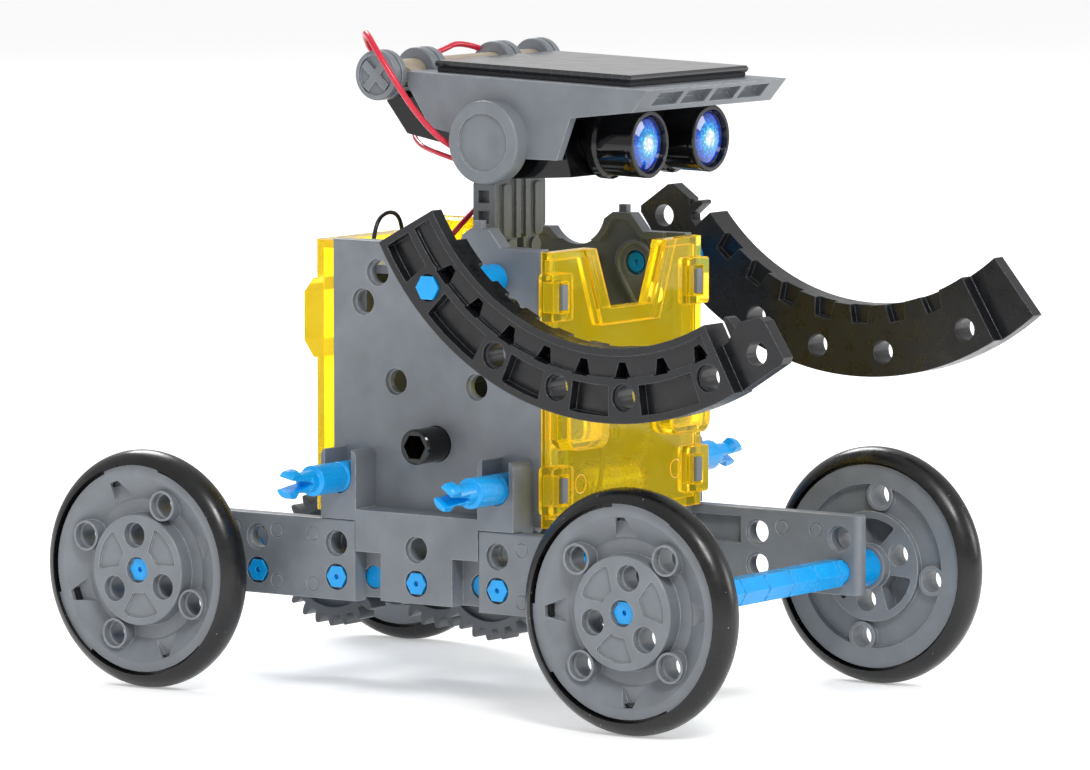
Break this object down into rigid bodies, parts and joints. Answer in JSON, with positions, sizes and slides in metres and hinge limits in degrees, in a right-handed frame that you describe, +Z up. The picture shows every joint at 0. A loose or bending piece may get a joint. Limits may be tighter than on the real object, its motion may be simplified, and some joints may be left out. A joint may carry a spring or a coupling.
{
  "type": "toy robot car",
  "caption": "Snap-together toy robot car: geared chassis on spoked wheels, box body with clear covers, curved arms, and a head with lamp eyes under a solar panel.",
  "frame": {"origin": "on the floor midway between the four wheels, below the chassis", "axes": "+Z up, the robot faces -Y and its right side is -X"},
  "size_m": [0.094, 0.1629, 0.1221],
  "materials": {
    "body_plastic": "satin moulded",
    "tyre_rubber": "smooth semi-gloss",
    "blue_plastic": "gloss",
    "clear_yellow": "clear yellow plastic",
    "black_arm": "satin",
    "black_gloss": "gloss",
    "lens_clear": "clear",
    "panel_glass": "gloss",
    "gear_white": "satin",
    "motor_steel": "satin",
    "motor_brass": "satin",
    "cradle_plastic": "satin",
    "lead_red": "soft sleeve",
    "lead_black": "soft sleeve",
    "lead_green": "soft sleeve",
    "beige_rod": "satin"
  },
  "bodies": {
    "chassis": {"body_shell_left": "body_plastic", "body_shell_right": "body_plastic", "front_cover": "clear_yellow", "rear_cover": "clear_yellow", "inner_frame": "body_plastic", "motor": "motor_steel", "motor_cradle": "cradle_plastic", "stage_shaft": "motor_steel", "side_frame_left": "body_plastic", "side_frame_right": "body_plastic", "beam_front_left": "body_plastic", "beam_front_right": "body_plastic", "beam_rear_left": "body_plastic", "beam_rear_right": "body_plastic", "frame_pins": "blue_plastic", "split_pins": "blue_plastic", "neck_left": "body_plastic", "neck_right": "body_plastic", "neck_lead": "lead_red", "rear_lead": "lead_black", "motor_lead_upper": "lead_black", "motor_lead_lower": "lead_green"},
    "rear_wheels": {"rear_axle": "blue_plastic", "axle_gear": "gear_white", "wheel_rear_left": "body_plastic", "wheel_rear_right": "body_plastic", "tyre_rear_left": "tyre_rubber", "tyre_rear_right": "tyre_rubber"},
    "front_wheels": {"front_axle": "blue_plastic", "wheel_front_left": "body_plastic", "wheel_front_right": "body_plastic", "tyre_front_left": "tyre_rubber", "tyre_front_right": "tyre_rubber"},
    "front_gear_set": {"front_gear": "gear_white", "front_gear_shaft": "blue_plastic"},
    "middle_gear_set": {"middle_gear": "gear_white", "middle_gear_shaft": "blue_plastic"},
    "rear_gear_set": {"rear_gear": "gear_white", "rear_gear_shaft": "blue_plastic"},
    "output_drive": {"output_gear": "gear_white", "output_shaft": "black_gloss"},
    "stage": {"stage_gear": "gear_white"},
    "motor_drive": {"motor_pinion": "motor_brass"},
    "right_arm": {"arm_right": "black_arm", "arm_pin_right": "blue_plastic"},
    "left_arm": {"arm_left": "black_arm", "arm_pin_left": "blue_plastic"},
    "head": {"head_core": "black_gloss", "visor": "body_plastic", "solar_panel": "panel_glass", "eye_left": "black_gloss", "eye_right": "black_gloss", "eye_lenses": "lens_clear", "ear_cap_left": "body_plastic", "ear_cap_right": "body_plastic", "head_axle": "motor_steel", "knob_rod": "beige_rod", "knobs": "body_plastic", "red_lead_upper": "lead_red", "red_lead_lower": "lead_red"}
  },
  "joints": [
    {"name": "rear_axle_spin", "type": "hinge", "parent": "chassis", "child": "rear_wheels", "pos_m": [0, 0.054, 0.0221], "axis": [1, 0, 0], "continuous": true},
    {"name": "front_axle_spin", "type": "hinge", "parent": "chassis", "child": "front_wheels", "pos_m": [0, -0.054, 0.0221], "axis": [1, 0, 0], "continuous": true},
    {"name": "rear_gear_spin", "type": "hinge", "parent": "chassis", "child": "rear_gear_set", "pos_m": [0, 0.036, 0.0221], "axis": [1, 0, 0], "continuous": true},
    {"name": "middle_gear_spin", "type": "hinge", "parent": "chassis", "child": "middle_gear_set", "pos_m": [0, 0.018, 0.0221], "axis": [1, 0, 0], "continuous": true},
    {"name": "front_gear_spin", "type": "hinge", "parent": "chassis", "child": "front_gear_set", "pos_m": [0, 0, 0.0221], "axis": [1, 0, 0], "continuous": true},
    {"name": "output_spin", "type": "hinge", "parent": "chassis", "child": "output_drive", "pos_m": [0, 0, 0.0471], "axis": [1, 0, 0], "continuous": true},
    {"name": "stage_spin", "type": "hinge", "parent": "chassis", "child": "stage", "pos_m": [0, -0.016, 0.0474], "axis": [1, 0, 0], "continuous": true},
    {"name": "motor_spin", "type": "hinge", "parent": "chassis", "child": "motor_drive", "pos_m": [0, -0.0178, 0.0386], "axis": [1, 0, 0], "continuous": true},
    {"name": "right_arm_swing", "type": "hinge", "parent": "chassis", "child": "right_arm", "pos_m": [0, -0.0131, 0.0778], "axis": [1, 0, 0], "range_deg": [-170, 12]},
    {"name": "left_arm_swing", "type": "hinge", "parent": "chassis", "child": "left_arm", "pos_m": [0, -0.0131, 0.0778], "axis": [1, 0, 0], "range_deg": [-170, 14]},
    {"name": "head_tilt", "type": "hinge", "parent": "chassis", "child": "head", "pos_m": [0, -0.0115, 0.1026], "axis": [1, 0, 0], "range_deg": [-8, 12]}
  ],
  "couplings": [
    {"joint": "rear_gear_spin", "follows": "rear_axle_spin", "ratio": -0.5},
    {"joint": "middle_gear_spin", "follows": "rear_axle_spin", "ratio": 1},
    {"joint": "front_gear_spin", "follows": "rear_axle_spin", "ratio": -0.5},
    {"joint": "output_spin", "follows": "rear_axle_spin", "ratio": 0.46154},
    {"joint": "stage_spin", "follows": "rear_axle_spin", "ratio": -2},
    {"joint": "motor_spin", "follows": "rear_axle_spin", "ratio": 4}
  ]
}
